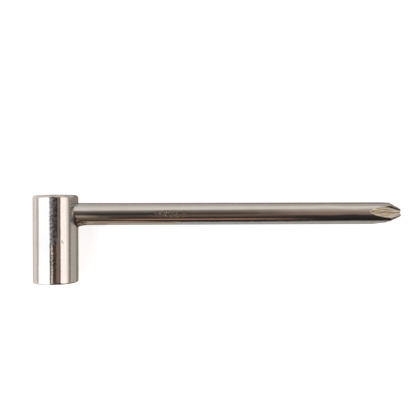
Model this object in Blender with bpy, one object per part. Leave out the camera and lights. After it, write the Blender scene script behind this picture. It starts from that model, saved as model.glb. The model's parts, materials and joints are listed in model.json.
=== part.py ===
"""Truss rod wrench: a blind hex socket with a cross-point driver shank brazed into its side.

It is modelled as it lies on a table: the shank runs along +X to its driver tip, the socket's mouth faces -Y
and its closed crown +Y, and +Z is up. The origin is on the table, under the middle of the wrench's box.
"""

import math

import bmesh
import bpy
from mathutils import Vector

MM = 0.001

# Hexagon that takes the truss rod nut, broached after a pilot hole is drilled from the mouth.
NUT_ACROSS_FLATS = 6.35 * MM
NUT_CLEARANCE = 0.1 * MM
HEX_DEPTH = 8.5 * MM
LEAD_IN_LIP = 0.1 * MM
LEAD_IN_ANGLE = math.radians(45)
PILOT_UNDERSIZE = 0.1 * MM
CHIP_RELIEF = 1.0 * MM
DRILL_POINT_ANGLE = math.radians(118)

# Socket around the hexagon, turned from round bar. Its wall is measured at the hexagon's corners.
SOCKET_WALL = 1.04 * MM
CROWN_WALL = 1.7 * MM
BORE_WEB = 0.8 * MM
CROWN_EDGE_RADIUS = 0.7 * MM
MOUTH_EDGE_RADIUS = 0.4 * MM

# Shank, seated in a blind cross hole of the socket.
SHANK_DIAMETER = 4.76 * MM
SHANK_REACH = 74.9 * MM
SHANK_END_CHAMFER = 0.3 * MM
BRAZE_CLEARANCE = 0.05 * MM
SEAT_WALL = 2.0 * MM
SEAT_END_CLEARANCE = 0.1 * MM

# Driver tip: a blunt cone, and four flutes cut by a V-edged wheel that then runs out towards the socket. They are
# ground by eye, so each has its own angle, core at the tip and straight length. The angles are from the top, round
# past the crown's side.
TIP_FLAT_DIAMETER = 2.0 * MM
TIP_HALF_ANGLE = math.radians(28)
FLUTE_ANGLES = [math.radians(angle) for angle in (8, 104, 188, 277)]
FLUTE_TIP_CORES = [core * MM for core in (0.45, 0.7, 0.45, 0.36)]
FLUTE_STRAIGHTS = [straight * MM for straight in (4.2, 2.3, 4.2, 2.3)]
FLUTE_HALF_ANGLE = math.radians(45)
FLUTE_ROOT_ROUNDING = 0.3 * MM
FLUTE_SLOPE = math.radians(10)
WHEEL_RADIUS = 9.0 * MM

# Braze fillet: how far it climbs the socket's wall and runs along the shank. Both are small round most of the
# joint and large on the mouth side, where the filler pooled. A higher power keeps the pool narrower.
BRAZE_CLIMB = 0.16 * MM
BRAZE_RUN = 0.16 * MM
BRAZE_POOL_CLIMB = 0.52 * MM
BRAZE_POOL_RUN = 2.4 * MM
BRAZE_POOL_POWER = 3

# Facets of the round shapes, and how far a cutter runs past the metal that it cuts.
SOCKET_SEGMENTS = 96
SHANK_SEGMENTS = 64
EDGE_STEPS = 5
FLUTE_SIDE_STEPS = 5
WHEEL_STEPS = 10
FILLET_SEGMENTS = 64
FILLET_STEPS = 5
CUTTER_OVERRUN = 1.0 * MM
MERGE_DISTANCE = 0.0001 * MM
SHARP_EDGE_ANGLE = math.radians(25)

hex_across_flats = NUT_ACROSS_FLATS + NUT_CLEARANCE
hex_corner_radius = hex_across_flats / 2 / math.cos(math.pi / 6)
pilot_radius = (hex_across_flats - PILOT_UNDERSIZE) / 2
drill_point = pilot_radius / math.tan(DRILL_POINT_ANGLE / 2)
shank_radius = SHANK_DIAMETER / 2
seat_radius = shank_radius + BRAZE_CLEARANCE
socket_radius = hex_corner_radius + SOCKET_WALL

# Heights along the socket's axis, from where the shank's axis crosses it.
crown_height = seat_radius + CROWN_WALL
bore_end = -seat_radius - BORE_WEB
pilot_end = bore_end - drill_point
hex_end = pilot_end - CHIP_RELIEF
mouth_height = hex_end - HEX_DEPTH

# Stations along the shank's axis, from where it crosses the socket's axis.
seat_end = SEAT_WALL - socket_radius
shank_end = seat_end + SEAT_END_CLEARANCE
tip_radius = TIP_FLAT_DIAMETER / 2
cone_start = SHANK_REACH - (shank_radius - tip_radius) / math.tan(TIP_HALF_ANGLE)


def arc(centre, radius, start, end, steps):
    """Points (radius, height) along an arc of a turned profile."""
    angles = [start + (end - start) * step / steps for step in range(steps + 1)]
    return [
        (centre[0] + radius * math.cos(angle), centre[1] + radius * math.sin(angle))
        for angle in angles
    ]


def plated_steel(name, colour, roughness):
    material = bpy.data.materials.new(name)
    material.use_nodes = True
    surface = material.node_tree.nodes["Principled BSDF"]
    surface.inputs["Base Color"].default_value = (*colour, 1)
    surface.inputs["Metallic"].default_value = 1
    surface.inputs["Roughness"].default_value = roughness
    return material


def finished_object(name, shape):
    """An object from a bmesh, with its faces turned outwards."""
    bmesh.ops.remove_doubles(shape, verts=shape.verts, dist=MERGE_DISTANCE)
    bmesh.ops.recalc_face_normals(shape, faces=shape.faces)
    mesh = bpy.data.meshes.new(name)
    shape.to_mesh(mesh)
    shape.free()
    made = bpy.data.objects.new(name, mesh)
    bpy.context.scene.collection.objects.link(made)
    return made


def turned(name, profile, segments):
    """A solid turned about its local Z from (radius, height) points that start and end on the axis."""
    shape = bmesh.new()
    points = [shape.verts.new((radius, 0, height)) for radius, height in profile]
    edges = [shape.edges.new(pair) for pair in zip(points, points[1:])]
    bmesh.ops.spin(
        shape,
        geom=points + edges,
        cent=(0, 0, 0),
        axis=(0, 0, 1),
        angle=math.tau,
        steps=segments,
        use_merge=True,
    )
    return finished_object(name, shape)


def lofted(name, sections, closed):
    """A solid whose skin joins each section to the next, and its ends to each other or to a cap each."""
    shape = bmesh.new()
    loops = [[shape.verts.new(point) for point in section] for section in sections]
    following = loops[1:] + loops[:1] if closed else loops[1:]
    for near, far in zip(loops, following):
        for corner in range(len(near)):
            shape.faces.new((near[corner - 1], near[corner], far[corner], far[corner - 1]))
    if not closed:
        shape.faces.new(loops[0])
        shape.faces.new(loops[-1])
    return finished_object(name, shape)


def cut_away(target, cutters):
    """Subtracts the cutters from the target, and leaves them as hidden guides."""
    for cutter in cutters:
        cutter.hide_render = True
        cutter.display_type = "WIRE"
        cut = target.modifiers.new(cutter.name, "BOOLEAN")
        cut.operation = "DIFFERENCE"
        cut.solver = "EXACT"
        cut.object = cutter
        with bpy.context.temp_override(object=target):
            bpy.ops.object.modifier_apply(modifier=cut.name)


def shade(target, material):
    target.data.materials.clear()
    target.data.materials.append(material)
    target.data.shade_smooth()
    target.data.set_sharp_from_angle(angle=SHARP_EDGE_ANGLE)


def stand_along_socket(piece):
    """Turns a piece's local Z to the socket's axis, +Y."""
    piece.rotation_euler.x = -math.pi / 2


def lay_along_shank(piece):
    """Turns a piece's local Z to the shank's axis, +X."""
    piece.rotation_euler.y = math.pi / 2


def make_hex_cutter():
    """The broached hexagon, with corners along the shank and flats above and below."""
    corners = [math.tau * corner / 6 for corner in range(6)]
    outline = [
        (hex_corner_radius * math.cos(angle), hex_corner_radius * math.sin(angle))
        for angle in corners
    ]
    heights = (mouth_height - CUTTER_OVERRUN, hex_end)
    return lofted("hex_cutter", [[(*corner, height) for corner in outline] for height in heights], False)


def make_pilot_cutter():
    profile = [
        (0, bore_end),
        (pilot_radius, pilot_end),
        (pilot_radius, mouth_height - CUTTER_OVERRUN),
        (0, mouth_height - CUTTER_OVERRUN),
    ]
    return turned("pilot_cutter", profile, SOCKET_SEGMENTS)


def make_lead_in_cutter():
    """A countersink that just clears the hexagon's corners at the mouth."""
    mouth_radius = hex_corner_radius + LEAD_IN_LIP
    wide_radius = mouth_radius + CUTTER_OVERRUN * math.tan(LEAD_IN_ANGLE)
    profile = [
        (0, mouth_height + mouth_radius / math.tan(LEAD_IN_ANGLE)),
        (wide_radius, mouth_height - CUTTER_OVERRUN),
        (0, mouth_height - CUTTER_OVERRUN),
    ]
    return turned("lead_in_cutter", profile, SOCKET_SEGMENTS)


def make_seat_cutter():
    """The blind cross hole that the shank sits in."""
    profile = [
        (0, socket_radius + CUTTER_OVERRUN),
        (seat_radius, socket_radius + CUTTER_OVERRUN),
        (seat_radius, seat_end),
        (0, seat_end),
    ]
    return turned("seat_cutter", profile, SHANK_SEGMENTS)


def make_socket():
    crown_centre = (socket_radius - CROWN_EDGE_RADIUS, crown_height - CROWN_EDGE_RADIUS)
    mouth_centre = (socket_radius - MOUTH_EDGE_RADIUS, mouth_height + MOUTH_EDGE_RADIUS)
    profile = [
        (0, crown_height),
        *arc(crown_centre, CROWN_EDGE_RADIUS, math.pi / 2, 0, EDGE_STEPS),
        *arc(mouth_centre, MOUTH_EDGE_RADIUS, 0, -math.pi / 2, EDGE_STEPS),
        (0, mouth_height),
    ]
    socket = turned("socket", profile, SOCKET_SEGMENTS)
    bore_cutters = [make_hex_cutter(), make_pilot_cutter(), make_lead_in_cutter()]
    seat_cutter = make_seat_cutter()
    for piece in [socket, *bore_cutters]:
        stand_along_socket(piece)
    lay_along_shank(seat_cutter)
    cut_away(socket, [*bore_cutters, seat_cutter])
    shade(socket, plated_steel("socket_nickel_plate", (0.60, 0.54, 0.48), 0.12))
    return socket


def make_flute_cutter(number, angle, tip_core, straight):
    """The space that the wheel sweeps: the straight root past the tip, then the arc up out of the shank.

    The wheel's edge is a V with a rounded point, with its points set closer together near the root. Its centre is
    placed for the moment when it reaches the straight root.
    """
    wheel_station = SHANK_REACH - straight + WHEEL_RADIUS * math.sin(FLUTE_SLOPE)
    wheel_height = tip_core + straight * math.tan(FLUTE_SLOPE) + WHEEL_RADIUS * math.cos(FLUTE_SLOPE)
    half_width = (shank_radius + CUTTER_OVERRUN - tip_core) * math.tan(FLUTE_HALF_ANGLE)
    profile = []
    for step in range(-FLUTE_SIDE_STEPS, FLUTE_SIDE_STEPS + 1):
        side = half_width * step * abs(step) / FLUTE_SIDE_STEPS**2
        height = math.hypot(side / math.tan(FLUTE_HALF_ANGLE), FLUTE_ROOT_ROUNDING) - FLUTE_ROOT_ROUNDING
        profile.append((side, height))

    lift_off = math.acos((wheel_height - shank_radius - CUTTER_OVERRUN) / WHEEL_RADIUS)
    turns = [lift_off + (FLUTE_SLOPE - lift_off) * step / WHEEL_STEPS for step in range(WHEEL_STEPS + 1)]
    runs = [(turn, 0) for turn in turns]
    runs.append((FLUTE_SLOPE, straight / math.cos(FLUTE_SLOPE) + CUTTER_OVERRUN))
    sections = []
    for turn, run in runs:
        section = []
        for side, height in profile:
            spoke = WHEEL_RADIUS - height
            out = wheel_height - spoke * math.cos(turn) - run * math.sin(FLUTE_SLOPE)
            along = wheel_station - spoke * math.sin(turn) + run * math.cos(FLUTE_SLOPE)
            section.append((out, side, along))
        sections.append(section)
    cutter = lofted(f"flute_cutter_{number}", sections, False)
    lay_along_shank(cutter)
    cutter.rotation_mode = "ZYX"
    cutter.rotation_euler.z = math.pi - angle
    return cutter


def make_driver_shank():
    profile = [
        (0, SHANK_REACH),
        (tip_radius, SHANK_REACH),
        (shank_radius, cone_start),
        (shank_radius, shank_end + SHANK_END_CHAMFER),
        (shank_radius - SHANK_END_CHAMFER, shank_end),
        (0, shank_end),
    ]
    shank = turned("driver_shank", profile, SHANK_SEGMENTS)
    lay_along_shank(shank)
    flutes = zip(FLUTE_ANGLES, FLUTE_TIP_CORES, FLUTE_STRAIGHTS)
    cut_away(shank, [make_flute_cutter(number, *flute) for number, flute in enumerate(flutes, 1)])
    shade(shank, plated_steel("shank_nickel_plate", (0.56, 0.50, 0.44), 0.15))
    return shank


def make_braze_fillet():
    """A ring whose sections follow the saddle where the shank enters the socket.

    Each section lies in a plane through the shank's axis. Its hollow face is a quarter of an ellipse, from the
    end of its run along the shank to the end of its climb up the socket's wall.
    """
    inner = shank_radius + BRAZE_CLEARANCE
    sections = []
    for segment in range(FILLET_SEGMENTS):
        turn = math.tau * segment / FILLET_SEGMENTS
        pool = ((1 - math.cos(turn)) / 2) ** BRAZE_POOL_POWER
        climb = BRAZE_CLIMB + (BRAZE_POOL_CLIMB - BRAZE_CLIMB) * pool
        run = BRAZE_RUN + (BRAZE_POOL_RUN - BRAZE_RUN) * pool
        outline = [(inner, 0)]
        for step in range(FILLET_STEPS + 1):
            bend = math.pi / 2 * step / FILLET_STEPS
            outline.append((inner + climb * (1 - math.cos(bend)), run * (1 - math.sin(bend))))
        section = []
        for distance, lift in outline:
            across = distance * math.cos(turn)
            up = distance * math.sin(turn)
            skin = math.sqrt(socket_radius**2 - up**2) + BRAZE_CLEARANCE
            section.append((skin + lift, across, up))
        sections.append(section)
    fillet = lofted("braze_fillet", sections, True)
    shade(fillet, plated_steel("braze_nickel_plate", (0.50, 0.44, 0.38), 0.25))
    return fillet


def lay_on_table(root, shank, pieces):
    """Tips the wrench about the socket's axis until the shank touches the table, and centres it there.

    A point of the shank touches once it is as far below the socket's axis as the socket's own radius.
    """
    tips = []
    for vertex in shank.data.vertices:
        along, _, height = shank.matrix_basis @ vertex.co
        if along > socket_radius:
            tips.append(math.asin(socket_radius / math.hypot(along, height)) - math.atan2(-height, along))
    root.rotation_euler.y = min(tips)
    bpy.context.view_layer.update()
    points = [piece.matrix_world @ vertex.co for piece in pieces for vertex in piece.data.vertices]
    low = Vector(map(min, zip(*points)))
    high = Vector(map(max, zip(*points)))
    root.location = (-(low.x + high.x) / 2, -(low.y + high.y) / 2, -low.z)


for startup_object in list(bpy.data.objects):
    bpy.data.objects.remove(startup_object)

wrench = bpy.data.objects.new("wrench", None)
bpy.context.scene.collection.objects.link(wrench)
socket = make_socket()
driver_shank = make_driver_shank()
braze_fillet = make_braze_fillet()
for placed in bpy.data.objects:
    if placed != wrench:
        placed.parent = wrench
lay_on_table(wrench, driver_shank, [socket, driver_shank, braze_fillet])
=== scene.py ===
"""A small nickel-plated wrench: a hexagon socket across one end of a round shank with a cross-point tip."""

import json
import math

import bpy
import numpy as np
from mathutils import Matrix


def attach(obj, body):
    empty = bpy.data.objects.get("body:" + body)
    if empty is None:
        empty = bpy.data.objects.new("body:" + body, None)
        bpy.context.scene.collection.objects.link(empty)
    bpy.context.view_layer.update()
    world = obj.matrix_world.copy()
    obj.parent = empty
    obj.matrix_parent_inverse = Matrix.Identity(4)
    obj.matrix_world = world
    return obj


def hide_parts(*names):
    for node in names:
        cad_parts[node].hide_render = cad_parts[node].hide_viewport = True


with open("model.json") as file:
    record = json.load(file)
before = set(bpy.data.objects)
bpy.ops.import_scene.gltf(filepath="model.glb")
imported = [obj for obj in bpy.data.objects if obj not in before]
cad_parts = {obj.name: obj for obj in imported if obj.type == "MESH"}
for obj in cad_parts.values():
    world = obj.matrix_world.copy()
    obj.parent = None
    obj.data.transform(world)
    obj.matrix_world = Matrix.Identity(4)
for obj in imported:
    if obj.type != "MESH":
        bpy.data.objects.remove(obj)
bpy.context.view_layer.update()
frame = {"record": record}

# Socket: a length of round steel bar, turned, drilled and broached with a hexagon that takes the nut.
# Both ends have rounded edges, and a blind cross hole near the closed crown holds the shank.
# It is tumbled, polished and plated with bright nickel.
MM = 0.001
SOCKET_RADIUS = 4.764 * MM
SOCKET_LENGTH = 18.768 * MM
CROWN_EDGE_RADIUS = 0.7 * MM
MOUTH_EDGE_RADIUS = 0.4 * MM
HEX_APOTHEM = 3.225 * MM
HEX_DEPTH = 8.5 * MM
LEAD_IN_RADIUS = 3.824 * MM
PILOT_RADIUS = 3.175 * MM
PILOT_DEPTH = 9.5 * MM
DRILL_POINT_HALF_ANGLE = math.radians(59)
SEAT_RADIUS = 2.43 * MM
SEAT_END = -2.764 * MM
SEAT_MOUTH = 6.0 * MM
SEAT_COLUMNS = 96
SOCKET_COLUMNS = 240
WALL_STEPS = 37
EDGE_STEPS = 17
CROWN_INNER_SHARE = 0.1
HOLD_SHARES = (0.0, 0.02, 0.5, 0.98)
SHARP_EDGE = math.radians(24)
NICKEL = "#DCD8D3"
THIN_NICKEL = "#CEC9C3"
NICKEL_EDGE = "#DCDAD8"
CLOUD_WIDTH = 5.0 * MM
RIPPLE_WIDTH = 2.4 * MM
RIPPLE_DEPTH = 0.012 * MM
# Real pits and stains are finer. They are drawn this coarse so that they show. Rims, floors and hearts are values
# of the noise that draws them.
PIT_WIDTH = 0.42 * MM
PIT_RIM = 0.3
PIT_FLOOR = 0.7
PIT_DULLING = 1.5
SOCKET_ROUGHNESS = 0.045
SOCKET_PIT_DEPTH = 0.006 * MM
SOCKET_GRAIN_DEPTH = 0.25 * SOCKET_PIT_DEPTH
PITS_CENTRE = (-34.25 * MM, 5.0 * MM, 9.5 * MM)
PITS_HALF_SIZE = (0.95 * MM, 17.0 * MM, 1.2 * MM)
PITS_FULL = 0.6
STAIN_WIDTH = 0.4 * MM
STAIN_RIM = 0.42
STAIN_HEART = 0.6
STAIN_STRENGTH = 0.65
STAINS_FULL = 0.33
STAIN = "#4E4842"
NICK_CENTRE = (-32.58 * MM, -0.48 * MM, 8.9 * MM)
NICK_TURN = math.radians(-56)
NICK_HALF_SIZE = (0.62 * MM, 0.09 * MM, 1.0 * MM)
NICK_DEPTH = 0.04 * MM
# Rings of the lathe are about a third of this width. They are drawn coarser so that they show.
TURNING_WIDTH = 0.22 * MM
TURNING_DEPTH = 0.0025 * MM

mounts = {mount["name"]: mount for mount in frame["record"]["mounts"]}
crown_centre = np.array(mounts["crown_face"]["pos_m"])
tip_centre = np.array(mounts["driver_tip_end"]["pos_m"])
crossing = np.array([crown_centre[0], tip_centre[1], crown_centre[2]])
shank_axis = np.array(mounts["driver_tip_end"]["axis"])
shank_axis = shank_axis / np.linalg.norm(shank_axis)


def skin(name, rings, poles=None):
    """Makes a smooth closed mesh from rings of points. Each ring's points join the same points of the next ring
    with quads. With two poles, a fan of triangles closes each end on its pole; without, the last ring joins the
    first. Sharp edges are those that turn by more than the limit."""
    count, columns = rings.shape[:2]
    points = rings.reshape(-1, 3)
    here = np.arange(columns)
    after = (here + 1) % columns
    row = columns * np.arange(count - 1 if poles is not None else count)[:, None]
    below = (row + columns) % (columns * count)
    quads = np.stack([row + here, row + after, below + after, below + here], axis=-1)
    faces = quads.reshape(-1, 4).tolist()
    if poles is not None:
        points = np.concatenate([points, poles])
        last = columns * (count - 1)
        first_pole = np.full(columns, columns * count)
        faces += np.stack([first_pole, after, here], axis=-1).tolist()
        faces += np.stack([last + here, last + after, first_pole + 1], axis=-1).tolist()
    mesh = bpy.data.meshes.new(name)
    mesh.from_pydata(points.tolist(), [], faces)
    mesh.shade_smooth()
    mesh.set_sharp_from_angle(angle=SHARP_EDGE)
    piece = bpy.data.objects.new(name, mesh)
    bpy.context.scene.collection.objects.link(piece)
    return piece


def turned(centre, across, up, along, angle, distance, radius):
    """Points on a turned surface: the centre, plus the distance along its axis, plus the radius in the direction
    that the angle gives, from the across direction towards the up direction."""
    outward = np.cos(angle)[..., None] * across + np.sin(angle)[..., None] * up
    return centre + distance[..., None] * along + radius[..., None] * outward


def held(curves):
    """Fills each step between two curves of a profile with more curves, close to both ends and one in the middle,
    so that smooth shading stays flat across the step. A step is a straight blend of its two curves."""
    shares = np.array(HOLD_SHARES)[:, None, None]
    steps = [(1 - shares) * a + shares * b for a, b in zip(curves[:-1], curves[1:])]
    return np.concatenate(steps + [curves[-1:]])


def linear(hex_colour):
    """Turns an sRGB hex colour into linear RGBA, by the standard curve."""
    srgb = np.array([int(hex_colour[i:i + 2], 16) for i in (1, 3, 5)]) / 255
    return (*np.where(srgb <= 0.04045, srgb / 12.92, ((srgb + 0.055) / 1.055) ** 2.4).tolist(), 1.0)


def add_node(tree, kind, inputs=None, **settings):
    """Adds one node to a tree with its settings. Each input is a value, or the output socket that feeds it."""
    node = tree.nodes.new(kind)
    for name, value in settings.items():
        setattr(node, name, value)
    for name, value in (inputs or {}).items():
        if isinstance(value, bpy.types.NodeSocket):
            tree.links.new(value, node.inputs[name])
        else:
            node.inputs[name].default_value = value
    return node


# A Mix node's sockets have no names of their own: numbers go in at 2 and 3, and colours at 6 and 7.
FIRST_NUMBER, SECOND_NUMBER, MIXED_NUMBER = 2, 3, 0
FIRST_COLOUR, SECOND_COLOUR, MIXED_COLOUR = 6, 7, 2


def make_socket():
    """The socket's profile, from the crown's flat, over its rounded edge, along the wall, round the mouth's edge,
    across the rim, down the cone of the lead-in to where it meets the hexagon, along the hexagon to its shoulder,
    and along the drilled pilot to the drill point. The hexagon's radius is its apothem over the cosine of the
    angle from the middle of a flat."""
    column = np.arange(SOCKET_COLUMNS)
    angle = 2 * np.pi * column / SOCKET_COLUMNS
    flat_columns = SOCKET_COLUMNS // 6
    from_flat = ((column % flat_columns) / flat_columns - 0.5) * np.pi / 3
    hexagon = HEX_APOTHEM / np.cos(from_flat)
    around = np.ones(SOCKET_COLUMNS)
    edge = np.linspace(0, np.pi / 2, EDGE_STEPS)[:, None] * around
    crown_edge = np.stack([
        CROWN_EDGE_RADIUS * (1 - np.cos(edge)),
        SOCKET_RADIUS - CROWN_EDGE_RADIUS * (1 - np.sin(edge)),
    ], axis=1)
    mouth_edge = np.stack([
        SOCKET_LENGTH - MOUTH_EDGE_RADIUS * (1 - np.sin(edge)),
        SOCKET_RADIUS - MOUTH_EDGE_RADIUS * (1 - np.cos(edge)),
    ], axis=1)
    hex_end = (SOCKET_LENGTH - HEX_DEPTH) * around
    pilot_end = (SOCKET_LENGTH - PILOT_DEPTH) * around
    crown_flat = np.stack([
        np.zeros((2, SOCKET_COLUMNS)),
        np.stack([CROWN_INNER_SHARE * around, around]) * crown_edge[0, 1],
    ], axis=1)
    inside = np.array([
        mouth_edge[-1],
        [SOCKET_LENGTH * around, LEAD_IN_RADIUS * around],
        [SOCKET_LENGTH - LEAD_IN_RADIUS + hexagon, hexagon],
        [hex_end, hexagon],
        [hex_end, PILOT_RADIUS * around],
        [pilot_end, PILOT_RADIUS * around],
    ])
    down = np.linspace(0, 1, WALL_STEPS)[:, None, None]
    wall = (1 - down) * crown_edge[-1] + down * mouth_edge[0]
    profile = np.concatenate([
        held(crown_flat)[:-1],
        crown_edge[:-1],
        wall[:-1],
        mouth_edge[:-1],
        held(inside),
    ])
    distance, radius = profile[:, 0], profile[:, 1]
    drill_point = pilot_end[0] - PILOT_RADIUS / math.tan(DRILL_POINT_HALF_ANGLE)
    across, up, along = np.array([1.0, 0, 0]), np.array([0, 0, 1.0]), np.array([0, -1.0, 0])
    rings = turned(crown_centre, across, up, along, angle, distance, radius)
    return skin("socket", rings, [crown_centre, crown_centre + drill_point * along])


def cut_seat(piece):
    """Drills the blind cross hole: a round bar along the shank's axis, from the hole's end to clear of the wall,
    is taken away from the socket."""
    ends = np.array([SEAT_END, SEAT_MOUTH])
    angle = 2 * np.pi * np.arange(SEAT_COLUMNS) / SEAT_COLUMNS
    upright = np.cross([0, -1.0, 0], shank_axis)
    rings = turned(crossing, upright, np.array([0, -1.0, 0]), shank_axis, angle, ends[:, None] + 0 * angle,
                   SEAT_RADIUS + 0 * angle)
    drill = skin("seat_drill", rings, crossing + ends[:, None] * shank_axis)
    cut = piece.modifiers.new("seat", "BOOLEAN")
    cut.object = drill
    bored = bpy.data.meshes.new_from_object(piece.evaluated_get(bpy.context.evaluated_depsgraph_get()))
    piece.modifiers.clear()
    bpy.data.objects.remove(drill)
    piece.data = bored
    bored.shade_smooth()
    bored.set_sharp_from_angle(angle=SHARP_EDGE)


socket = make_socket()
cut_seat(socket)
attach(socket, "root")
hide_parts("socket")


def blank_material(name):
    """A material with nothing in its node tree yet."""
    material = bpy.data.materials.new(name)
    material.use_nodes = True
    material.node_tree.nodes.clear()
    return material


def nickel_plate(tree, place, pit_depth, roughness):
    """Bright nickel on polished steel: a warm mirror whose edges of light break up on fine pits and bend on slow
    ripples. Where the plate is thin it is a little darker, and it is duller in the pits. Gives its colour, its
    roughness and its height in metres."""
    grit = add_node(tree, "ShaderNodeTexNoise", {
        "Vector": place, "Scale": 1 / PIT_WIDTH, "Detail": 1.0, "Roughness": 0.6,
    }).outputs["Fac"]
    pits = add_node(tree, "ShaderNodeMapRange", {
        "Value": grit, "From Min": PIT_RIM, "From Max": PIT_FLOOR,
    }).outputs["Result"]
    clouds = add_node(tree, "ShaderNodeTexNoise", {
        "Vector": place, "Scale": 1 / CLOUD_WIDTH, "Detail": 2.0,
    }).outputs["Fac"]
    ripples = add_node(tree, "ShaderNodeTexNoise", {
        "Vector": place, "Scale": 1 / RIPPLE_WIDTH, "Detail": 0.0,
    }).outputs["Fac"]
    pitted = add_node(tree, "ShaderNodeMath", {0: pits, 1: pit_depth}, operation="MULTIPLY").outputs[0]
    rippled = add_node(tree, "ShaderNodeMath", {0: ripples, 1: RIPPLE_DEPTH}, operation="MULTIPLY").outputs[0]
    height = add_node(tree, "ShaderNodeMath", {0: rippled, 1: pitted}, operation="SUBTRACT").outputs[0]
    colour = add_node(tree, "ShaderNodeMix", {
        "Factor": clouds, FIRST_COLOUR: linear(THIN_NICKEL), SECOND_COLOUR: linear(NICKEL),
    }, data_type="RGBA").outputs[MIXED_COLOUR]
    gloss = add_node(tree, "ShaderNodeMapRange", {
        "Value": pits, "To Min": roughness, "To Max": PIT_DULLING * roughness,
    }).outputs["Result"]
    return colour, gloss, height


def tumbled_nickel():
    """The socket's nickel, with one nick on the wall and, along the top, a narrow patch where the pits are deeper
    and hold dark stains. The ends keep faint rings from the lathe, which depend on the distance from the socket's
    axis alone."""
    material = blank_material("bright_nickel_tumbled")
    tree = material.node_tree
    place = add_node(tree, "ShaderNodeTexCoord").outputs["Object"]
    at_pits = add_node(tree, "ShaderNodeMapping", {
        "Vector": place, "Location": PITS_CENTRE, "Scale": PITS_HALF_SIZE,
    }, vector_type="TEXTURE").outputs["Vector"]
    pitted = add_node(tree, "ShaderNodeTexGradient", {"Vector": at_pits}, gradient_type="SPHERICAL").outputs["Fac"]
    pit_depth = add_node(tree, "ShaderNodeMapRange", {
        "Value": pitted, "From Max": PITS_FULL, "To Min": SOCKET_GRAIN_DEPTH, "To Max": SOCKET_PIT_DEPTH,
    }).outputs["Result"]
    colour, gloss, height = nickel_plate(tree, place, pit_depth, SOCKET_ROUGHNESS)
    grime = add_node(tree, "ShaderNodeTexNoise", {
        "Vector": place, "Scale": 1 / STAIN_WIDTH, "Detail": 1.0,
    }).outputs["Fac"]
    stained = add_node(tree, "ShaderNodeMapRange", {
        "Value": grime, "From Min": STAIN_RIM, "From Max": STAIN_HEART, "To Max": STAIN_STRENGTH,
    }).outputs["Result"]
    in_patch = add_node(tree, "ShaderNodeMapRange", {"Value": pitted, "From Max": STAINS_FULL}).outputs["Result"]
    stained = add_node(tree, "ShaderNodeMath", {0: stained, 1: in_patch}, operation="MULTIPLY").outputs[0]
    colour = add_node(tree, "ShaderNodeMix", {
        "Factor": stained, FIRST_COLOUR: colour, SECOND_COLOUR: linear(STAIN),
    }, data_type="RGBA").outputs[MIXED_COLOUR]
    at_nick = add_node(tree, "ShaderNodeMapping", {
        "Vector": place, "Location": NICK_CENTRE, "Rotation": (0, 0, NICK_TURN), "Scale": NICK_HALF_SIZE,
    }, vector_type="TEXTURE").outputs["Vector"]
    nick = add_node(tree, "ShaderNodeTexGradient", {"Vector": at_nick}, gradient_type="SPHERICAL").outputs["Fac"]
    nicked = add_node(tree, "ShaderNodeMath", {
        0: nick, 1: -NICK_DEPTH, 2: height,
    }, operation="MULTIPLY_ADD").outputs[0]
    off_axis = add_node(tree, "ShaderNodeVectorMath", {
        0: place, 1: tuple(crown_centre),
    }, operation="SUBTRACT").outputs["Vector"]
    off_axis = add_node(tree, "ShaderNodeVectorMath", {
        0: off_axis, 1: (1, 0, 1),
    }, operation="MULTIPLY").outputs["Vector"]
    radius = add_node(tree, "ShaderNodeVectorMath", {0: off_axis}, operation="LENGTH").outputs["Value"]
    rings = add_node(tree, "ShaderNodeTexNoise", {
        "W": radius, "Scale": 1 / TURNING_WIDTH, "Detail": 1.0,
    }, noise_dimensions="1D").outputs["Fac"]
    turned_height = add_node(tree, "ShaderNodeMath", {
        0: rings, 1: TURNING_DEPTH, 2: nicked,
    }, operation="MULTIPLY_ADD").outputs[0]
    bump = add_node(tree, "ShaderNodeBump", {
        "Height": turned_height, "Distance": 1.0, "Strength": 1.0,
    }).outputs["Normal"]
    metal = add_node(tree, "ShaderNodeBsdfPrincipled", {
        "Base Color": colour, "Metallic": 1.0, "Roughness": gloss, "Specular Tint": linear(NICKEL_EDGE),
        "Normal": bump,
    }).outputs["BSDF"]
    add_node(tree, "ShaderNodeOutputMaterial", {"Surface": metal})
    return material


socket.data.materials.append(tumbled_nickel())

# Driver shank: a straight round rod of drawn steel whose plain end is brazed into the socket's cross hole.
# Its free end is turned to a blunt cone and ground by eye with four flutes, so it turns a cross-head screw.
# The same nickel covers it, over faint draw lines along the rod and coarse grinding lines in the flutes.
SHANK_RADIUS = 2.38 * MM
SHANK_START = -2.664 * MM
SHANK_REACH = 74.9 * MM
START_CHAMFER = 0.3 * MM
TIP_FLAT_RADIUS = 1.0 * MM
TIP_HALF_ANGLE = math.radians(28)
FLUTE_ANGLES = np.radians([-277, -188, -104, -8])
FLUTE_TIP_CORES = np.array([0.36, 0.45, 0.7, 0.45]) * MM
FLUTE_STRAIGHTS = np.array([2.3, 4.2, 2.3, 4.2]) * MM
FLUTE_ROUNDING = 0.3 * MM
FLUTE_SLOPE = math.radians(10)
WHEEL_RADIUS = 9.0 * MM
FLUTE_COLUMNS = 36
LAND_COLUMNS = 16
ROD_START_STEPS = np.array([0.02, 1.0, 3.0]) * MM
ROD_MIDDLE_MARGINS = 4.0 * MM, 3.0 * MM
ROD_MIDDLE_STEPS = 12
ROD_END_STEPS = np.array([2.0, 1.2, 0.6, 0.25, 0.08]) * MM
GROUND_STEPS = 37
CONE_STEPS = 25
PLAIN_FLUTE_SHARE = math.radians(30)
LEAST_FLUTE_SHARE = math.radians(0.15)
GATHER_LENGTH = 6.0 * MM
BURNISH_START = 70.8 * MM
BURNISH_FULL = 72.4 * MM
BURNISH_SHARE = 0.19
LEAST_BURNISH = 0.05
SHANK_ROUGHNESS = 0.04
GROUND_ROUGHNESS = 0.85
GROUND_NICKEL = "#FFF8E9"
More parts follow.
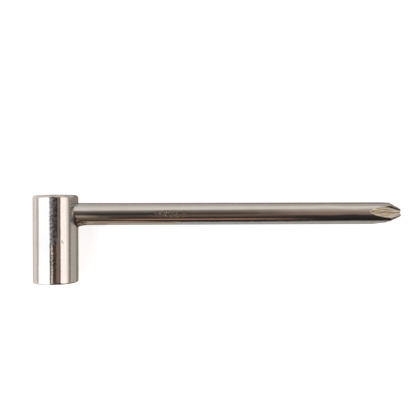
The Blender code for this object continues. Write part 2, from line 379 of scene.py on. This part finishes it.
# The darker ground colour below marks the grinding lines, and is also painted shade towards each flute's root; the
# next two values set where that painted shade starts and how strong it gets.
GRIND_LINES_AND_ROOT_SHADE = "#C4B6A2"
ROOT_PAINTED_SHADE_START = 0.55
ROOT_PAINTED_SHADE = 0.8
RIDGE_HEIGHT = 0.55
FURROW_HEIGHT = 0.39
# Real grinding and draw lines are finer. They are drawn this coarse so that they show.
GRIND_WIDTH = 0.2 * MM
GRIND_LENGTH = 2.5 * MM
GRIND_DEPTH = 0.02 * MM
DRAW_WIDTH = 0.2 * MM
DRAW_LENGTH = 12.0 * MM
DRAW_DEPTH = 0.002 * MM
SHANK_PIT_DEPTH = 0.039 * MM
SHANK_GRAIN_DEPTH = 0.025 * SHANK_PIT_DEPTH
SPECKS_CENTRE = (-10.3 * MM, 5.2 * MM, 6.2 * MM)
SPECKS_HALF_SIZE = (4.8 * MM, 0.85 * MM, 2.0 * MM)
SPECKS_FULL = 0.5


def flute_roots(s):
    """Height of each flute's root above the shank's axis at distance s: a straight slope up from the tip, and
    before it the arc of the grinding wheel that leaves the steel, which is tangent to the slope. Gives where each
    flute runs out too."""
    bend = SHANK_REACH - FLUTE_STRAIGHTS
    wheel_s = bend + WHEEL_RADIUS * math.sin(FLUTE_SLOPE)
    bend_height = FLUTE_TIP_CORES + FLUTE_STRAIGHTS * math.tan(FLUTE_SLOPE)
    wheel_height = bend_height + WHEEL_RADIUS * math.cos(FLUTE_SLOPE)
    run_out = wheel_s - np.sqrt(WHEEL_RADIUS ** 2 - (wheel_height - SHANK_RADIUS) ** 2)
    arc = wheel_height - np.sqrt(np.maximum(WHEEL_RADIUS ** 2 - (wheel_s - s) ** 2, 0))
    slope = FLUTE_TIP_CORES + (SHANK_REACH - s) * math.tan(FLUTE_SLOPE)
    return np.where(s < run_out, SHANK_RADIUS, np.where(s < bend, arc, slope)), run_out


def make_driver_shank():
    """The shank's radius at each distance and angle: the plain end's chamfer, the rod, and the cone of the tip, or
    the floor of the nearest flute where that is lower. A flute's section is a square V with a round root: its
    height is the root plus the hypotenuse of the sideways distance and the rounding, less the rounding. A land
    fills the angle from each flute to the next. The columns spread so that some always follow both edges of each
    flute. The angles are from the top, round past the mouth's side."""
    cone_start = SHANK_REACH - (SHANK_RADIUS - TIP_FLAT_RADIUS) / math.tan(TIP_HALF_ANGLE)
    run_out = flute_roots(0)[1]
    plain = np.array([SHANK_START, SHANK_START + START_CHAMFER])
    rod = np.concatenate([
        plain[1] + ROD_START_STEPS,
        np.linspace(ROD_MIDDLE_MARGINS[0], run_out.min() - ROD_MIDDLE_MARGINS[1], ROD_MIDDLE_STEPS),
        run_out.min() - ROD_END_STEPS,
    ])
    ground = run_out + (cone_start - run_out) * np.linspace(0, 1, GROUND_STEPS)[:, None] ** 2
    ground = np.unique(np.round(ground, 6))
    cone = np.linspace(cone_start, SHANK_REACH, CONE_STEPS)[1:]
    s = np.concatenate([plain, rod, ground, cone])
    body = np.full(s.shape, SHANK_RADIUS)
    body[0] -= START_CHAMFER
    body = np.where(s > cone_start, TIP_FLAT_RADIUS + (SHANK_REACH - s) * math.tan(TIP_HALF_ANGLE), body)

    body = body[:, None]
    in_steel = s[:, None] > run_out
    base = flute_roots(s[:, None])[0] - FLUTE_ROUNDING
    edge_cosine = (base + np.sqrt(2 * body ** 2 + 2 * FLUTE_ROUNDING ** 2 - base ** 2)) / (2 * body)
    opening = np.arccos(np.clip(edge_cosine, -1, 1))
    gather = np.clip((run_out - s[:, None]) / GATHER_LENGTH, 0, 1)
    gather = gather * gather * (3 - 2 * gather)
    opening = np.maximum(np.where(in_steel, opening, PLAIN_FLUTE_SHARE * gather), LEAST_FLUTE_SHARE)

    in_flute = np.linspace(-1, 1, FLUTE_COLUMNS + 1)
    on_land = np.linspace(0, 1, LAND_COLUMNS + 1)[1:-1]
    next_opening = np.roll(opening, -1, axis=1)
    spacing = np.diff(FLUTE_ANGLES, append=FLUTE_ANGLES[0] + 2 * np.pi)
    opening, next_opening, base, body, in_steel = (
        values[..., None] for values in (opening, next_opening, base, body, in_steel)
    )
    flute_angle = opening * in_flute
    land_angle = opening + (spacing[:, None] - opening - next_opening) * on_land
    square = np.cos(2 * flute_angle)
    reach = base * np.cos(flute_angle)
    floor = (reach + np.sqrt(reach ** 2 - square * (base ** 2 - FLUTE_ROUNDING ** 2))) / square
    floor = np.where(in_steel & (np.abs(in_flute) < 1), np.minimum(floor, body), body)
    angle = np.concatenate([flute_angle, land_angle], axis=2) + FLUTE_ANGLES[:, None]
    radius = np.concatenate([floor, body + 0 * land_angle], axis=2)
    across = np.concatenate([floor * np.sin(flute_angle), 0 * land_angle], axis=2)
    from_edge = np.concatenate([1 - np.abs(in_flute), 0 * on_land])
    from_edge = np.where(in_steel, from_edge, 0)
    flute = np.arange(len(FLUTE_ANGLES))[:, None] + 0 * radius
    angle, radius, across, from_edge, flute = (
        values.reshape(len(s), -1) for values in (angle, radius, across, from_edge, flute)
    )

    side = np.array([0, -1.0, 0])
    upright = np.cross(side, shank_axis)
    rings = turned(crossing, upright, side, shank_axis, angle, s[:, None] + 0 * angle, radius)
    poles = crossing + np.array([[SHANK_START], [SHANK_REACH]]) * shank_axis
    shank = skin("driver_shank", rings, poles)

    towards_tip = (s - BURNISH_START) / (BURNISH_FULL - BURNISH_START)
    burnish = BURNISH_SHARE * np.clip(towards_tip, LEAST_BURNISH, 1)[:, None]
    ground = np.clip(2 * from_edge / burnish - 1, 0, 1)
    in_groove = np.stack([s[:, None] / GRIND_LENGTH + 0 * radius, across / GRIND_WIDTH, flute], axis=-1)
    for name, kind, field, values in (
        ("ground", "FLOAT", "value", ground),
        ("from_edge", "FLOAT", "value", from_edge),
        ("in_groove", "FLOAT_VECTOR", "vector", in_groove),
    ):
        ends = np.zeros(values[0, 0].size * 2)
        values = np.concatenate([values.ravel(), ends]).astype(np.float32)
        shank.data.attributes.new(name, kind, "POINT").data.foreach_set(field, values)
    return shank


driver_shank = make_driver_shank()
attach(driver_shank, "root")
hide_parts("driver_shank")


def drawn_nickel():
    """Bright nickel on drawn rod, with faint draw lines along it and one patch of pits on top. In the flutes it is
    a rough warm grind with lines towards the tip, painted shade that darkens it along the root, and bright again
    where screws have burnished the edges of the point."""
    material = blank_material("bright_nickel_drawn")
    tree = material.node_tree
    place = add_node(tree, "ShaderNodeTexCoord").outputs["Object"]
    at_specks = add_node(tree, "ShaderNodeMapping", {
        "Vector": place, "Location": SPECKS_CENTRE, "Scale": SPECKS_HALF_SIZE,
    }, vector_type="TEXTURE").outputs["Vector"]
    specks = add_node(tree, "ShaderNodeTexGradient", {
        "Vector": at_specks,
    }, gradient_type="SPHERICAL").outputs["Fac"]
    pit_depth = add_node(tree, "ShaderNodeMapRange", {
        "Value": specks, "From Max": SPECKS_FULL, "To Min": SHANK_GRAIN_DEPTH, "To Max": SHANK_PIT_DEPTH,
    }).outputs["Result"]
    colour, gloss, height = nickel_plate(tree, place, pit_depth, SHANK_ROUGHNESS)
    along_rod = add_node(tree, "ShaderNodeMapping", {
        "Vector": place, "Rotation": (0, math.asin(-shank_axis[2]), 0),
        "Scale": (DRAW_LENGTH, DRAW_WIDTH, DRAW_WIDTH),
    }, vector_type="TEXTURE").outputs["Vector"]
    draw_lines = add_node(tree, "ShaderNodeTexNoise", {"Vector": along_rod, "Scale": 1.0}).outputs["Fac"]
    drawn = add_node(tree, "ShaderNodeMath", {
        0: draw_lines, 1: DRAW_DEPTH, 2: height,
    }, operation="MULTIPLY_ADD").outputs[0]

    in_groove = add_node(tree, "ShaderNodeAttribute", attribute_name="in_groove").outputs["Vector"]
    grind_lines = add_node(tree, "ShaderNodeTexNoise", {
        "Vector": in_groove, "Scale": 1.0, "Detail": 1.0,
    }).outputs["Fac"]
    ground = add_node(tree, "ShaderNodeAttribute", attribute_name="ground").outputs["Fac"]
    from_edge = add_node(tree, "ShaderNodeAttribute", attribute_name="from_edge").outputs["Fac"]
    # Painted shade: the flute's colour darkens towards the root of its V.
    root_painted_shade = add_node(tree, "ShaderNodeMapRange", {
        "Value": from_edge, "From Min": ROOT_PAINTED_SHADE_START, "To Max": ROOT_PAINTED_SHADE,
    }).outputs["Result"]
    in_line = add_node(tree, "ShaderNodeMapRange", {
        "Value": grind_lines, "From Min": RIDGE_HEIGHT, "From Max": FURROW_HEIGHT,
    }).outputs["Result"]
    shade = add_node(tree, "ShaderNodeMath", {0: root_painted_shade, 1: in_line}, operation="ADD", use_clamp=True).outputs[0]
    grind = add_node(tree, "ShaderNodeMix", {
        "Factor": shade, FIRST_COLOUR: linear(GROUND_NICKEL), SECOND_COLOUR: linear(GRIND_LINES_AND_ROOT_SHADE),
    }, data_type="RGBA").outputs[MIXED_COLOUR]
    colour = add_node(tree, "ShaderNodeMix", {
        "Factor": ground, FIRST_COLOUR: colour, SECOND_COLOUR: grind,
    }, data_type="RGBA").outputs[MIXED_COLOUR]
    gloss = add_node(tree, "ShaderNodeMix", {
        "Factor": ground, FIRST_NUMBER: gloss, SECOND_NUMBER: GROUND_ROUGHNESS,
    }).outputs[MIXED_NUMBER]
    scored = add_node(tree, "ShaderNodeMath", {0: grind_lines, 1: ground}, operation="MULTIPLY").outputs[0]
    height = add_node(tree, "ShaderNodeMath", {
        0: scored, 1: GRIND_DEPTH, 2: drawn,
    }, operation="MULTIPLY_ADD").outputs[0]
    bump = add_node(tree, "ShaderNodeBump", {"Height": height, "Distance": 1.0, "Strength": 1.0}).outputs["Normal"]
    metal = add_node(tree, "ShaderNodeBsdfPrincipled", {
        "Base Color": colour, "Metallic": 1.0, "Roughness": gloss, "Specular Tint": linear(NICKEL_EDGE),
        "Normal": bump,
    }).outputs["BSDF"]
    add_node(tree, "ShaderNodeOutputMaterial", {"Surface": metal})
    return material


driver_shank.data.materials.append(drawn_nickel())

# Braze fillet: the ring of filler metal that ran into the joint and froze in its corner, where the shank enters
# the socket. It is a thin hollow line round most of the joint and a small pool on the mouth's side, under the
# same nickel.
CLIMB = 0.16 * MM
RUN = 0.16 * MM
POOL_CLIMB = 0.52 * MM
POOL_RUN = 2.4 * MM
POOL_POWER = 3
FILLET_COLUMNS = 144
FILLET_STEPS = 17
FILLET_ROOT = 0.12 * MM
BRAZE_PIT_DEPTH = 0.003 * MM
BRAZE_ROUGHNESS = 0.14
# Painted shade darkens the fillet's face towards its corner at the socket: from the first share below to the
# second, it turns to the last colour below.
CORNER_SHADE_START = 0.5
CORNER_SHADE_FULL = 0.85
FILLER = "#A8957E"
CORNER_SHADE_COLOUR = "#2A2420"


def make_braze_fillet():
    """Sections in planes through the shank's axis, at each angle from the crown's side. The hollow face is a
    quarter of an ellipse, from the end of its run along the shank to the end of its climb up the socket's wall.
    Both grow with a power of the angle's share towards the mouth's side. The root lies just inside both metals.
    The socket's skin at a distance q from the axis stands at the root of its radius squared less the square of q
    times the sine of the angle."""
    angle = 2 * np.pi * np.arange(FILLET_COLUMNS) / FILLET_COLUMNS
    quarter = np.linspace(0, np.pi / 2, FILLET_STEPS)[:, None]
    pool = ((1 - np.cos(angle)) / 2) ** POOL_POWER
    climb = CLIMB + (POOL_CLIMB - CLIMB) * pool
    run = RUN + (POOL_RUN - RUN) * pool
    face = SHANK_RADIUS + climb * (1 - np.cos(quarter))
    lift = run * (1 - np.sin(quarter))
    distance = np.concatenate([face, face[-1:], 0 * face[:1] + SHANK_RADIUS - FILLET_ROOT, face[:1] - FILLET_ROOT])
    lift = np.concatenate([lift, 0 * lift[:1] - FILLET_ROOT, 0 * lift[:1] - FILLET_ROOT, lift[:1]])
    skin_height = np.sqrt(SOCKET_RADIUS ** 2 - (distance * np.sin(angle)) ** 2)
    crownward = np.array([0, 1.0, 0])
    upright = np.cross(shank_axis, crownward)
    rings = turned(crossing, crownward, upright, shank_axis, angle, skin_height + lift, distance)
    fillet = skin("braze_fillet", rings[::-1])
    seam = np.concatenate([quarter[:, 0] / (np.pi / 2), [1, 1, 0]])[::-1, None] + 0 * angle
    for name, values in (("seam", seam), ("pool", 0 * seam + pool)):
        values = values.astype(np.float32).ravel()
        fillet.data.attributes.new(name, "FLOAT", "POINT").data.foreach_set("value", values)
    return fillet


braze_fillet = make_braze_fillet()
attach(braze_fillet, "root")
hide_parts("braze_fillet")


def brazed_nickel():
    """Nickel over filler metal: duller than the rest, browner where the filler pooled on the mouth's side, and
    nearly black in the corner at the socket, which is painted shade in the crease between the fillet and the
    socket."""
    material = blank_material("bright_nickel_brazed")
    tree = material.node_tree
    place = add_node(tree, "ShaderNodeTexCoord").outputs["Object"]
    colour, gloss, height = nickel_plate(tree, place, BRAZE_PIT_DEPTH, BRAZE_ROUGHNESS)
    seam = add_node(tree, "ShaderNodeAttribute", attribute_name="seam").outputs["Fac"]
    # Painted shade: the corner where the fillet meets the socket turns nearly black.
    corner_shade = add_node(tree, "ShaderNodeMapRange", {
        "Value": seam, "From Min": CORNER_SHADE_START, "From Max": CORNER_SHADE_FULL,
    }).outputs["Result"]
    pool = add_node(tree, "ShaderNodeAttribute", attribute_name="pool").outputs["Fac"]
    colour = add_node(tree, "ShaderNodeMix", {
        "Factor": pool, FIRST_COLOUR: colour, SECOND_COLOUR: linear(FILLER),
    }, data_type="RGBA").outputs[MIXED_COLOUR]
    colour = add_node(tree, "ShaderNodeMix", {
        "Factor": corner_shade, FIRST_COLOUR: colour, SECOND_COLOUR: linear(CORNER_SHADE_COLOUR),
    }, data_type="RGBA").outputs[MIXED_COLOUR]
    bump = add_node(tree, "ShaderNodeBump", {"Height": height, "Distance": 1.0, "Strength": 1.0}).outputs["Normal"]
    metal = add_node(tree, "ShaderNodeBsdfPrincipled", {
        "Base Color": colour, "Metallic": 1.0, "Roughness": gloss, "Specular Tint": linear(NICKEL_EDGE),
        "Normal": bump,
    }).outputs["BSDF"]
    add_node(tree, "ShaderNodeOutputMaterial", {"Surface": metal})
    return material


braze_fillet.data.materials.append(brazed_nickel())

# Floor: a plain matt white table top, which keeps the wrench's shadow. It is lifted to white for the camera, and a
# little for the metal, and lights nothing by that.
FLOOR_HALF = 2.0
FLOOR_WHITE = "#C9C8C7"
CAMERA_LIFT = 0.78
METAL_LIFT = 0.1
floor_mesh = bpy.data.meshes.new("floor")
floor_corners = FLOOR_HALF * np.array([[-1, -1, 0], [1, -1, 0], [1, 1, 0], [-1, 1, 0]])
floor_mesh.from_pydata(floor_corners.tolist(), [], [[0, 1, 2, 3]])
floor = bpy.data.objects.new("floor", floor_mesh)
bpy.context.scene.collection.objects.link(floor)
table_white = blank_material("matt_white_table")
tree = table_white.node_tree
rays = add_node(tree, "ShaderNodeLightPath").outputs
paint = add_node(tree, "ShaderNodeBsdfDiffuse", {"Color": linear(FLOOR_WHITE)}).outputs["BSDF"]
for_metal = add_node(tree, "ShaderNodeMath", {
    0: rays["Is Glossy Ray"], 1: rays["Is Transmission Ray"],
}, operation="ADD").outputs[0]
for_metal = add_node(tree, "ShaderNodeMath", {0: for_metal, 1: METAL_LIFT}, operation="MULTIPLY").outputs[0]
lift = add_node(tree, "ShaderNodeMath", {
    0: rays["Is Camera Ray"], 1: CAMERA_LIFT, 2: for_metal,
}, operation="MULTIPLY_ADD").outputs[0]
glow = add_node(tree, "ShaderNodeEmission", {"Strength": lift}).outputs["Emission"]
lit = add_node(tree, "ShaderNodeAddShader", {0: paint, 1: glow}).outputs[0]
add_node(tree, "ShaderNodeOutputMaterial", {"Surface": lit})
floor_mesh.materials.append(table_white)

# Studio light: a tent round the table, with a bright panel at the left and a softer one at the right. Dark brown
# cloth hangs over the camera and down the near side, and the far side is pale. Cards over the wrench and strips on
# the table draw the lines along the metal, which alone sees them. The camera sees plain white.
PANEL_LEVEL = 2.2
FAR_SIDE_SLANT = -0.5
LEFT_CLOTH_LEAN = 0.06
LEFT_CLOTH_START = math.radians(-7.8)
LEFT_CLOTH_FULL = math.radians(-11.8)
RIGHT_CLOTH_START = math.radians(6)
RIGHT_CLOTH_FULL = math.radians(16)
PANEL_END_START = math.radians(14)
PANEL_END_FULL = math.radians(30)
PANEL_END = "#A39F9C"
LOW_RIGHT = "#655E57"
LOW_RIGHT_HEIGHTS = 0.06, 0.19
LOW_RIGHT_SIDES = 0.2, 0.5
world = bpy.data.worlds.new("studio")
bpy.context.scene.world = world
world.use_nodes = True
tree = world.node_tree
tree.nodes.clear()
direction = add_node(tree, "ShaderNodeTexCoord").outputs["Generated"]
part = add_node(tree, "ShaderNodeSeparateXYZ", {"Vector": direction}).outputs
sideways = add_node(tree, "ShaderNodeMath", {0: part["X"]}, operation="ARCSINE").outputs[0]
lengthways = add_node(tree, "ShaderNodeMath", {0: part["Y"], 1: part["Z"]}, operation="ARCTAN2").outputs[0]


def tent_zones(angle, stops):
    """A strip of tent cloth over an angle from -90 to 90 degrees. Each stop is an angle, the cloth's colour there,
    and how far it covers what hangs behind."""
    share = add_node(tree, "ShaderNodeMapRange", {
        "Value": angle, "From Min": -math.pi / 2, "From Max": math.pi / 2,
    }).outputs["Result"]
    node = add_node(tree, "ShaderNodeValToRGB", {"Fac": share})
    elements = node.color_ramp.elements
    for degrees, colour, cover in stops[1:-1]:
        elements.new(degrees / 180 + 0.5)
    for element, (degrees, colour, cover) in zip(elements, stops):
        element.position = degrees / 180 + 0.5
        element.color = (*linear(colour)[:3], cover)
    return node.outputs


cloth = tent_zones(lengthways, [
    (-90, "#2C2725", 1), (-72, "#181210", 1), (-59, "#86695C", 1), (-49, "#3A2E29", 1), (-38, "#211917", 1),
    (-21, "#57493F", 1), (1, "#352F2D", 1), (14, "#453F3B", 1), (34, "#6A625B", 1), (90, "#6A625B", 1),
])["Color"]
left_cloth = tent_zones(lengthways, [
    (-90, "#756555", 1), (-82, "#756555", 1), (-75, "#332A25", 1), (-69, "#2B2420", 1), (-59, "#453C34", 1),
    (-47, "#4E443C", 1), (-36, "#5C5147", 1), (-25, "#857C6E", 1), (-15, "#6C6560", 1), (-7, "#3F3A36", 1),
    (5, "#352F2D", 1), (14, "#453F3B", 1), (34, "#6A625B", 1), (90, "#6A625B", 1),
])["Color"]
right_cloth = tent_zones(lengthways, [
    (-90, "#7C7976", 1), (-84, "#343231", 1), (-77, "#161414", 1), (-24, "#272424", 1), (-7, "#675750", 1),
    (15, "#695B56", 1), (36, "#8F857E", 1), (90, "#8F857E", 1),
])["Color"]
rightward = add_node(tree, "ShaderNodeMapRange", {
    "Value": sideways, "From Min": RIGHT_CLOTH_START, "From Max": RIGHT_CLOTH_FULL,
}, interpolation_type="SMOOTHSTEP").outputs["Result"]
slanting = add_node(tree, "ShaderNodeMath", {
    0: sideways, 1: FAR_SIDE_SLANT, 2: lengthways,
}, operation="MULTIPLY_ADD").outputs[0]
far_side = tent_zones(slanting, [
    (-90, "#4A3F38", 0), (24.5, "#4A3F38", 0), (26, "#4A3F38", 0.6), (27.5, "#4A3F38", 0.6), (29, "#A5A19D", 0),
    (34, "#A5A19D", 0), (47, "#A9A5A2", 1), (58, "#ADAAA7", 1), (90, "#9C9995", 1),
])
panels = tent_zones(sideways, [
    (-90, "#97938F", 1), (-78, "#97938F", 1), (-74, "#D6DBE0", 1), (-17, "#D6DBE0", 1), (-14, "#2A2624", 0),
    (31, "#3A2A26", 0), (35, "#3A2A26", 0.4), (38, "#3A2A26", 0.4), (41, "#D6D1CF", 1), (66, "#D6D1CF", 1),
    (76, "#B0ABA7", 1), (90, "#B0ABA7", 1),
])
panel_end = add_node(tree, "ShaderNodeMapRange", {
    "Value": lengthways, "From Min": PANEL_END_START, "From Max": PANEL_END_FULL,
}).outputs["Result"]
panel_cloth = add_node(tree, "ShaderNodeMix", {
    "Factor": panel_end, FIRST_COLOUR: panels["Color"], SECOND_COLOUR: linear(PANEL_END),
}, data_type="RGBA").outputs[MIXED_COLOUR]
low = add_node(tree, "ShaderNodeMapRange", {
    "Value": part["Z"], "From Min": LOW_RIGHT_HEIGHTS[0], "From Max": LOW_RIGHT_HEIGHTS[1],
    "To Min": 1.0, "To Max": 0.0,
}).outputs["Result"]
right = add_node(tree, "ShaderNodeMapRange", {
    "Value": part["X"], "From Min": LOW_RIGHT_SIDES[0], "From Max": LOW_RIGHT_SIDES[1],
}).outputs["Result"]
low_right = add_node(tree, "ShaderNodeMath", {0: low, 1: right}, operation="MULTIPLY").outputs[0]
leaning = add_node(tree, "ShaderNodeMath", {
    0: lengthways, 1: LEFT_CLOTH_LEAN, 2: sideways,
}, operation="MULTIPLY_ADD").outputs[0]
leftward = add_node(tree, "ShaderNodeMapRange", {
    "Value": leaning, "From Min": LEFT_CLOTH_START, "From Max": LEFT_CLOTH_FULL,
}, interpolation_type="SMOOTHSTEP").outputs["Result"]
tent = cloth
for front, share in (
    (left_cloth, leftward),
    (right_cloth, rightward),
    (far_side["Color"], far_side["Alpha"]),
    (panel_cloth, panels["Alpha"]),
    (linear(LOW_RIGHT), low_right),
):
    tent = add_node(tree, "ShaderNodeMix", {
        "Factor": share, FIRST_COLOUR: tent, SECOND_COLOUR: front,
    }, data_type="RGBA").outputs[MIXED_COLOUR]
rays = add_node(tree, "ShaderNodeLightPath").outputs
white = add_node(tree, "ShaderNodeBackground", {"Color": (1, 1, 1, 1), "Strength": 1.0}).outputs["Background"]
lit = add_node(tree, "ShaderNodeBackground", {"Color": tent, "Strength": PANEL_LEVEL}).outputs["Background"]
shown = add_node(tree, "ShaderNodeMixShader", {0: rays["Is Camera Ray"], 1: lit, 2: white}).outputs[0]
add_node(tree, "ShaderNodeOutputWorld", {"Surface": shown})


HIGH_CARD = 60
LOW_CARD = 14
STRIP = 0.2


def lay_card(name, height, left, right, near, far, colour):
    """A flat card that only the metal sees, given by its height and its edges in millimetres."""
    mesh = bpy.data.meshes.new(name)
    corners = [(left, near), (right, near), (right, far), (left, far)]
    mesh.from_pydata([(x * MM, y * MM, height * MM) for x, y in corners], [], [[0, 1, 2, 3]])
    card = bpy.data.objects.new(name, mesh)
    bpy.context.scene.collection.objects.link(card)
    card.visible_camera = card.visible_diffuse = card.visible_shadow = False
    paper = blank_material(name)
    glow = add_node(paper.node_tree, "ShaderNodeEmission", {"Color": linear(colour), "Strength": PANEL_LEVEL})
    add_node(paper.node_tree, "ShaderNodeOutputMaterial", {"Surface": glow.outputs["Emission"]})
    mesh.materials.append(paper)


lay_card("far_dark_card", HIGH_CARD, -36.5, -10.5, -2, 12, "#242424")
lay_card("near_dark_card", HIGH_CARD, -32.8, -16.5, -20, -2, "#3B3532")
lay_card("white_card", LOW_CARD, -37.73, -36.08, -17, 9.8, "#D6DBE0")
lay_card("grey_card", LOW_CARD, -36.08, -35.02, -1.27, 9.8, "#848280")
lay_card("slate_card", LOW_CARD, -35.02, -34.42, -1.27, 9.8, "#6E6C6A")
lay_card("dusk_card", LOW_CARD, -34.42, -33.85, -1.27, 9.8, "#5E5D5C")
lay_card("charcoal_card", LOW_CARD, -33.85, -31.85, -1.27, 9.8, "#434241")
lay_card("beige_card", LOW_CARD, -35.42, -34.21, -10.7, -1.27, "#AA9D92")
# The grey strip beside the rod on its far side, and the near and warm strips beside the socket and along the rod's
# near side, are painted shade: the table where the wrench shades it, as the metal sees it. The pale strip at the
# left is a painted pool of light on the table.
lay_card("grey_strip", STRIP, -41, 43, 7.4, 14, "#6F6661")
lay_card("dark_strip", STRIP, -9.9, 80, -200, -30, "#2E2A28")
lay_card("pale_strip", STRIP, -200, -41, -40, 40, "#B6B2B0")
lay_card("brown_strip", STRIP, -33, -10, -50, -14, "#6B5A4A")
lay_card("near_strip", STRIP, -29.6, -25.5, -14, 2.6, "#766F65")
lay_card("warm_strip", STRIP, -25.5, -8, -14, 2.6, "#8B8680")
lay_card("far_strip", STRIP, 45, 300, -35, 9, "#554E48")

LAMP_POWER = 0.032
LAMP_WIDTH = 60 * MM
LAMP_LENGTH = 120 * MM
LAMP_PLACE = (-110 * MM, 0, 70 * MM)
LAMP_LEAN = math.radians(-40)
lamp_data = bpy.data.lights.new("left_softbox", "AREA")
lamp_data.shape = "RECTANGLE"
lamp_data.size = LAMP_WIDTH
lamp_data.size_y = LAMP_LENGTH
lamp_data.energy = LAMP_POWER
lamp = bpy.data.objects.new("left_softbox", lamp_data)
lamp.location = LAMP_PLACE
lamp.rotation_euler = (0, LAMP_LEAN, 0)
lamp.visible_glossy = False
bpy.context.scene.collection.objects.link(lamp)

# Camera: straight above the table, close to the wrench, and turned a trace against it.
SENSOR_WIDTH = 36
FOCAL_LENGTH = 46.78
CLIP_START = 10 * MM
CAMERA_PLACE = (-2.29 * MM, 6.492 * MM, 121 * MM)
CAMERA_TURN = math.radians(-0.18)
camera_data = bpy.data.cameras.new("camera")
camera_data.sensor_width = SENSOR_WIDTH
camera_data.lens = FOCAL_LENGTH
camera_data.clip_start = CLIP_START
camera = bpy.data.objects.new("camera", camera_data)
camera.location = CAMERA_PLACE
camera.rotation_euler = (0, 0, CAMERA_TURN)
bpy.context.scene.collection.objects.link(camera)
bpy.context.scene.camera = camera
bpy.context.scene.view_settings.view_transform = "Standard"
